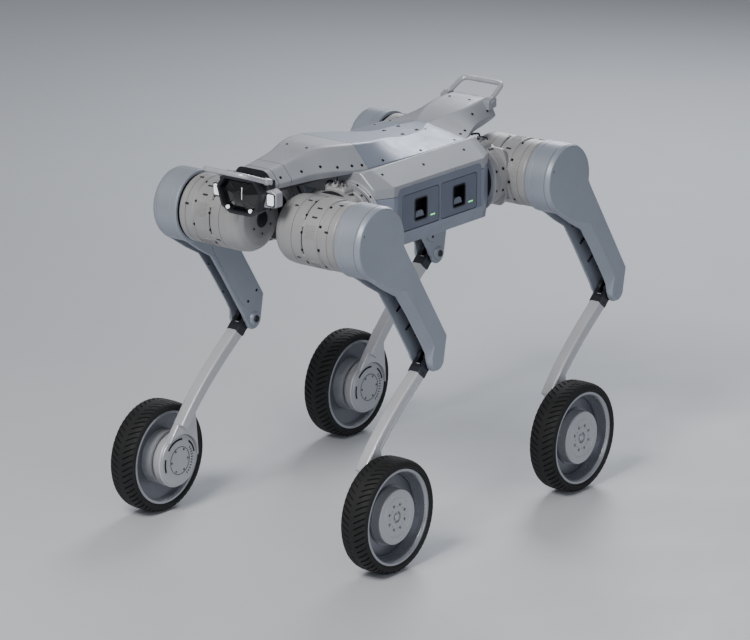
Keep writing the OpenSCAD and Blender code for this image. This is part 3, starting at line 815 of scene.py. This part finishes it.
outer = stack((thigh_outline(0, WIDE), 263.6), (thigh_outline(0, WIDE), 267.5),
              (thigh_outline(0.8, between(0.12)), 269.3), (thigh_outline(3.4, between(0.9)), 275.0),
              (thigh_outline(5.6, STRIP), 276.0))
outer = bevelled(outer, 0.5, 2, 24)
drum = lathe(rounded([(71, 211.2), (76, 211.2), (DRUM_R, 213.2), (DRUM_R, 225.5), (76.8, 226.3),
                      (76.8, 228), (DRUM_R, 228.8), (DRUM_R, 263), (70, 263), (70, 212)],
                     [0, 1.5, 1.5, 0.4, 0.4, 0.4, 0.4, 0, 0, 0], 3), 120)
drum_back = lathe([(30.3, 212.4), (71.5, 212.4), (71.5, 218), (30.3, 218)])
CHEEK_FRONT = [(58, -58), (44, -92), (24, -132), (22, -200), (22, -290), (22, -318), (24, -334)]
cheek = stack((thigh_outline(3, [(u - 2, t) for u, t in CHEEK_FRONT]), 222.2),
              (thigh_outline(0.5, CHEEK_FRONT), 224.4), (thigh_outline(0.5, CHEEK_FRONT), 229.5))
cheek = cut(bevelled(cheek, 0.6, 2, 30), disc(60, 210, 240, 72))
pad_outline = rounded([(-46, -96), (8, -96), (14, -138), (12, -296), (-2, -318), (-40, -318),
                       (-46, -300)], 5, 3)
cheek_pad = bevelled(prism(pad_outline, 219.8, 223), 1.2, 2)
flange_arc = arc((0, 0), 76, 214, 322, 26) + arc((0, 0), 60, 322, 214, 26)
flange_arc = bevelled(prism(flange_arc, 216, 223), 0.8, 2)
spine = block(-54.8, -50.6, 228, 263.4, -322, -52, 0.8)
spine_foot = rounded([(-54.8, -322), (-50, -326), (-26, -356), (-19, -368), (-26, -362),
                      (-54.8, -327)], 0.5, 1)
spine_foot = bevelled(prism(spine_foot, 228, 263.4), 0)
AT_KNEE = shifted(z=KNEE_T)
boss_side = rounded([(0, 216.4), (11, 216.4), (14, 218), (16, 222.5), (0, 222.5)], [0, 1, 1, 0, 0], 3)
knee_boss = moved(lathe(boss_side, 48), AT_KNEE)
knee_bolt = moved(lathe([(0, 213.6), (3.4, 213.6), (3.6, 215.4), (4.6, 215.4), (4.6, 213.8),
                         (6.6, 213.8), (7.8, 215), (7.8, 217), (0, 217)], 36), AT_KNEE)
knee_shaft = moved(disc(7, 222, 263, 36), AT_KNEE)
INWARD = (0, -1, 0)
cheek_screws = placed(button(3.1, 1.2), [((u, 219.8, t), INWARD) for u, t in (
    (-38, -108), (4, -108), (-38, -300), (-4, -300))])
drum_bolts = placed(button(2.7, 1.0), [(on_circle(66, a, 212.2), INWARD) for a in range(15, 361, 30)])
bevel_screw = placed(button(3.6, 0.8), [((35, 274.4, 58), (0.30, 0.85, 0.42))])
edge_screws = placed(button(2.4, 0.9), [((13.2, 260, t), (1, 0, 0)) for t in (-176, -262)])
stiffeners = joined([block(-50.8, 6, 229, 233, t - 1.6, t + 1.6, 0.8) for t in (-150, -205, -262)])

THIGH = [(outer, LEG_PAINT)]
THIGH_FRAME = [(joined([drum, cheek, spine, cheek_pad, flange_arc, knee_boss, spine_foot]), LEG_PAINT),
               (joined([drum_back, stiffeners, knee_shaft]), DARK),
               (joined([cheek_screws, drum_bolts, bevel_screw, edge_screws]), SCREW), (knee_bolt, STEEL)]

# ---------------------------------------------------------------- calf (drawn in the calf frame)

BOW = 50


def bar_mid(t):
    return (BOW * math.sin(math.pi / 2 * t) - 2 * t, -290 * t)


def bar_ring(t, half, y0=233.5, y1=260.5, corner=4.5):
    """Section of the calf bar, square to its centre line."""
    u, v = bar_mid(t)
    a, b = bar_mid(min(t + 0.02, 1.02)), bar_mid(max(t - 0.02, -0.02))
    down = Vector((a[0] - b[0], 0, a[1] - b[1])).normalized()
    across = Vector((-down.z, 0, down.x))
    outline = box_outline(-half, half, y0, y1, corner, 4)
    return [Vector((u, 0, v)) + across * p[0] + Vector((0, p[1], 0)) for p in outline]


def fan_outline(k):
    """The widened foot of the calf round the wheel motor, drawn in by k."""
    front, rear = bar_mid(0.78), bar_mid(0.8)
    return rounded([(front[0] + 12, front[1]), (59 - k, -318), (56 - k, -345), (-50 + k, -345),
                    (-46 + k, -312), (rear[0] - 12, rear[1])], [6, 14, 0, 0, 16, 6], 4)


bar = loft([bar_ring(t, 13.6 - 1.6 * t) for t in [0.085 + 0.915 * k / 26 for k in range(27)]])
groove = loft([bar_ring(t, 5.2, 259.6, 264, 1.2) for t in [0.2 + 0.6 * k / 18 for k in range(19)]])
bar = cut(bar, groove)
AT_CALF_END = shifted(z=-CALF_LEN)
fan = stack(*[(fan_outline(k), y) for k, y in ((2, 245.8), (0, 248), (0, 258.5), (2, 260.4))])
fan = cut(fan, moved(disc(58.4, 230, 280, 96), AT_CALF_END))
housing = rounded([(50.2, 254.5), (58, 254.5), (60, 257), (60, 271), (58, 274.8), (50.2, 274.8)],
                  [0, 2, 2, 2, 1, 0], 3)
housing = moved(lathe(housing), AT_CALF_END)
yoke_side = rounded([(-14, 2), (-13.5, 34), (-9, 50), (9, 50), (13.5, 34), (14, 2), (24, -30),
                     (25.5, -46), (-2, -46), (-3, -30)], [6, 8, 8, 8, 8, 6, 6, 4, 4, 6], 4)
yoke = bevelled(prism(yoke_side, 231.8, 261.2), 1.6, 2)
knee_drum = lathe(rounded([(7.1, 231.6), (17, 231.6), (18.5, 233), (18.5, 260), (17, 261.4),
                           (7.1, 261.4)], [0, 1.5, 1.5, 1.5, 1.5, 0], 3), 60)
rod_space = prism([(-40, 75), (40, 75), (40, 0), (20, -26), (-20, -26), (-40, 0)], 240.6, 251.6)
yoke, knee_drum = cut(yoke, rod_space), cut(knee_drum, rod_space)
LEVER_Z = 40
lever_pin = moved(disc(5, 241, 251.5, 32), shifted(z=LEVER_Z))
lever_caps = placed(button(5.2, 1.4), [((0, 261.0, LEVER_Z), (0, 1, 0)), ((0, 231.9, LEVER_Z), INWARD)])
screw_x, screw_z = bar_mid(0.13)
bar_screws = placed(button(2.8, 0.9), [((screw_x, 260.5, screw_z), (0, 1, 0))])
CALF = [(joined([bar, fan, housing]), CALF_METAL), (joined([yoke, knee_drum, lever_pin]), STEEL),
        (joined([lever_caps, bar_screws]), SCREW)]

# ---------------------------------------------------------------- wheel parts (about the wheel axis)

motor_profile = rounded([(0, 249.6), (20, 249.6), (22, 249.2), (45, 249.2), (56, 250.8), (58, 253.8),
                         (50, 253.8), (50, 327.8), (12, 327.8), (12, 335.8), (0, 335.8)],
                        [0, 0.5, 0.5, 2, 2, 1, 0, 0, 0, 1, 0], 3)
motor = lathe(motor_profile)


def arc_slot(r0, r1, start, end, y0, y1):
    steps = max(6, int(abs(end - start) / 5))
    outline = arc((0, 0), r1, start, end, steps) + arc((0, 0), r0, end, start, steps)
    return bevelled(prism(outline, y0, y1), 0.3, 1)


# black arcs and small blocks on the motor face, not real openings: painted shade of its vent slots and holes
slot_shade_arcs = joined([arc_slot(45.5, 49.5, start, end, 248.6, 252)
                      for start, end in ((40, 100), (128, 168), (-20, 16))])
vent_shade_block = block(36.5, 42.5, 248.7, 250, -1.1, 1.1, 0.4, 1)
vent_hole_shade = joined([turned(vent_shade_block, -a) for a in range(125, 216, 9)])
motor_ring = ring(30, 31.2, 248.8, 250, 72)
motor_screws = placed(button(2.6, 0.9), [(on_circle(26, a, 249.6), INWARD) for a in range(0, 360, 60)])
MOTOR = [(motor, HUB_METAL), (joined([slot_shade_arcs, vent_hole_shade, motor_ring]), SCREW), (motor_screws, SCREW)]

lip = lathe(rounded([(94.2, 300), (94.2, 290), (97, 285.1), (102.8, 285.1), (102.8, 288.9), (98, 288.9),
                     (98, 339.1), (102.8, 339.1), (102.8, 342.9), (97.4, 342.9), (94.2, 338),
                     (94.2, 309), (96, 305)],
                    [0, 2, 1, 1, 0.5, 1, 1, 0.5, 1, 1.5, 2, 0, 0], 3), 144)
dish = lathe(rounded([(58.4, 306.5), (94.6, 300.4), (94.6, 309.5), (90, 309.6), (84, 311.6),
                      (62, 315.4), (58.4, 316.4)], [0, 0, 0, 3, 3, 2, 0], 3), 120)
dish_steps = joined([ring(88.6, 94.4, 309, 313.2, 120), ring(59, 63.5, 314, 318.4, 120)])
hub_side = rounded([(12.3, 333.2), (53, 333.2), (53, 282.2), (59, 282.2), (59, 337.6), (57.6, 339.8),
                    (44, 339.8), (43.4, 339.2), (41.6, 339.2), (41, 339.8), (12.3, 339.8)],
                   [0, 0, 0, 0, 1, 1, 0.3, 0.3, 0.3, 0.3, 0.6], 3)
BOLT_R, DOT_R = 27.0, 23.5
BOLT_TURNS = [22.5 + 45 * k for k in range(8)]


def hub_ring(mesh, radius, shift=0.0):
    """Copies of a Y-axis shape at the hub's bolts, on their own radius."""
    return joined([moved(mesh, shifted(*on_circle(radius, a + shift))) for a in BOLT_TURNS])


sink = lathe([(0, 330), (2.75, 330), (2.75, 338.2), (4.1, 338.4), (4.1, 345), (0, 345)], 28)
hub_disc = cut(lathe(hub_side, 120), hub_ring(sink, BOLT_R))
# dark discs at the bottom of the bolt counterbores: painted shade inside the holes
bolt_hole_shade = hub_ring(disc(3.6, 333.4, 336.8, 20), BOLT_R)
dots_dark = hub_ring(disc(1.0, 338, 340, 12), DOT_R, 22.5)
axle_nut = lathe(rounded([(0, 335), (7.2, 335), (7.2, 339.2), (6.2, 340.2), (0, 340.2)],
                         [0, 0, 0.5, 0.5, 0], 3), 36)
valve = moved(tube([(0, 0, 0), (0, 9, 0)], [2.0, 1.6], 14), shifted(0, 311, 80))
RIM = [(lip, RIM_METAL), (joined([dish, dish_steps]), DISH), (joined([hub_disc, axle_nut]), HUB_METAL),
       (joined([bolt_hole_shade, dots_dark]), SCREW), (valve, STEEL)]


def tyre():
    """A tyre with slanted shoulder notches; its rows are sheared so that the notches lean."""
    half = [(98.2, 24.8, 0), (103.1, 24.8, 0), (103.1, 28.8, 0), (107, 32.7, 0), (112, 32.4, 0),
            (115.5, 30.6, 0.25), (118.2, 28, 1), (120.2, 24, 1), (121.2, 19, 1), (121.7, 13, 1),
            (121.9, 7.5, 1), (121.95, 5.5, 0), (121.95, 2, 0)]
    rows = [(r, -y, k) for r, y, k in half] + [(r, y, k) for r, y, k in half[::-1]]
    pitches, notch_depth, middle_y = 56, 3.4, 314
    edges = [(0.0, 0), (0.22, 0), (0.28, 1), (0.46, 1), (0.52, 0), (0.76, 0)]
    verts = []
    for p in range(pitches):
        for at, deep in edges:
            for r, y, k in rows:
                lean = 1.5 * (abs(y) / 33) ** 1.1 + (0.5 if y > 0 else 0)
                a = 2 * math.pi * (p + at + lean) / pitches
                radius = r - notch_depth * deep * k
                verts.append((radius * math.cos(a), middle_y + y, radius * math.sin(a)))
    n, columns = len(rows), pitches * len(edges)
    faces = [(c * n + i, c * n + (i + 1) % n, (c + 1) % columns * n + (i + 1) % n, (c + 1) % columns * n + i)
             for c in range(columns) for i in range(n)]
    return build(verts, faces)


TYRE = tyre()

# ---------------------------------------------------------------- the four legs

for name, fore, side in LEGS:
    here = leg(fore, side)
    inward = leg(fore, side, flip_x=True)
    piece("bracket_" + name, "hip_" + name, inward,
          [(joined([barrel, saddle]), HIP_PAINT), (neck_ring, DARK),
           (joined([placed(button(3.0, 1.3), rim_screws), placed(button(3.4, 1.6), pair_screws)]), SCREW),
           (joined([clutter_base] + plug_parts), HIP_PAINT), (joined(cables), STEEL)],
          ["hip_bracket_" + name])
    piece("motor_" + name, "hip_" + name, inward,
          [(joined([can] + lugs + ribs), HIP_PAINT), (joined([seams] + slots), DARK), (hub, STEEL),
           (joined([placed(button(3.0, 2.2), seam_spots), end_bolts]), SCREW), (end_cap, STEEL)],
          ["hip_motor_" + name])
    for kind, body, place, parts, node, slot in (
            ("thigh_shell_", "thigh_", here @ IN_THIGH, THIGH, "thigh_cover_", "painted_metal"),
            ("thigh_body_", "thigh_", here @ IN_THIGH, THIGH_FRAME, "thigh_frame_", "painted_metal"),
            ("calf_bar_", "calf_", here @ IN_CALF, CALF, "calf_", "bright_alloy"),
            ("wheel_drive_", "calf_", here @ AT_AXLE, MOTOR, "wheel_motor_", "bright_alloy"),
            ("rim_", "wheel_", here @ AT_AXLE, RIM, "wheel_rim_", "bright_alloy"),
            ("tyre_body_", "wheel_", here @ AT_AXLE, [(TYRE, RUBBER)], "tyre_", "rubber")):
        piece(kind + name, body + name, place, parts, [node + name])

# ---------------------------------------------------------------- CAD nodes that stay

KEPT = {"belly_plate": DARK, "computer_unit": CIRCUIT, "abduction_motors": STEEL}
for name, _, _ in LEGS:
    KEPT["knee_crank_" + name] = STEEL
    KEPT["knee_rod_" + name] = STEEL
for node, material in KEPT.items():
    for slot_ in frame["nodes"][node].material_slots:
        slot_.material = material

# ---------------------------------------------------------------- floor, light, camera

FLOOR_R = 14
floor_rim = arc((0, 0), FLOOR_R, 0, 360, 96)[:-1]
floor_mesh = build([(x, y, 0) for x, y in floor_rim], [tuple(range(96))])
floor = bpy.data.objects.new("floor", floor_mesh)
bpy.context.scene.collection.objects.link(floor)
floor_paint = surface("floor_paint", srgb(200, 202, 206), 0.55, tone=0.02, blotch=0.8, bump=0.03)
floor_mesh.materials.append(floor_paint)


def looking(at, direction):
    """Where a light or the camera stands, and which way it looks."""
    return Matrix.Translation(at) @ direction.to_track_quat("-Z", "Y").to_matrix().to_4x4()


def area_light(name, at, target, size, power, colour):
    data = bpy.data.lights.new(name, "AREA")
    data.shape = "DISK"
    data.size = size
    data.energy = power
    data.color = colour
    light = bpy.data.objects.new(name, data)
    light.matrix_world = looking(at, Vector(target) - Vector(at))
    bpy.context.scene.collection.objects.link(light)


area_light("key", (3.2, 0.4, 3.4), (0, 0, 0.45), 1.6, 150, (1.0, 0.985, 0.96))
area_light("fill", (2.6, 5.0, 1.8), (0, 0, 0.4), 3.0, 75, (0.90, 0.94, 1.0))
area_light("rim", (-3.6, -1.6, 2.6), (0, 0, 0.6), 1.8, 90, (0.92, 0.95, 1.0))
world = bpy.data.worlds.new("studio")
world.use_nodes = True
world.node_tree.nodes["Background"].inputs["Color"].default_value = (0.82, 0.86, 0.92, 1)
world.node_tree.nodes["Background"].inputs["Strength"].default_value = 0.30
bpy.context.scene.world = world

CAMERA_AT = Vector((MID_X + 6.658, 5.208, HIP.z + 2.255))
YAW, PITCH = math.radians(218.03), math.radians(-16.75)
look = Vector((math.cos(PITCH) * math.cos(YAW), math.cos(PITCH) * math.sin(YAW), math.sin(PITCH)))
camera_data = bpy.data.cameras.new("camera")
camera_data.lens = 196.75
camera_data.sensor_width = 36
camera_data.clip_end = 60
camera = bpy.data.objects.new("camera", camera_data)
camera.matrix_world = looking(CAMERA_AT, look)
bpy.context.scene.collection.objects.link(camera)
bpy.context.scene.camera = camera
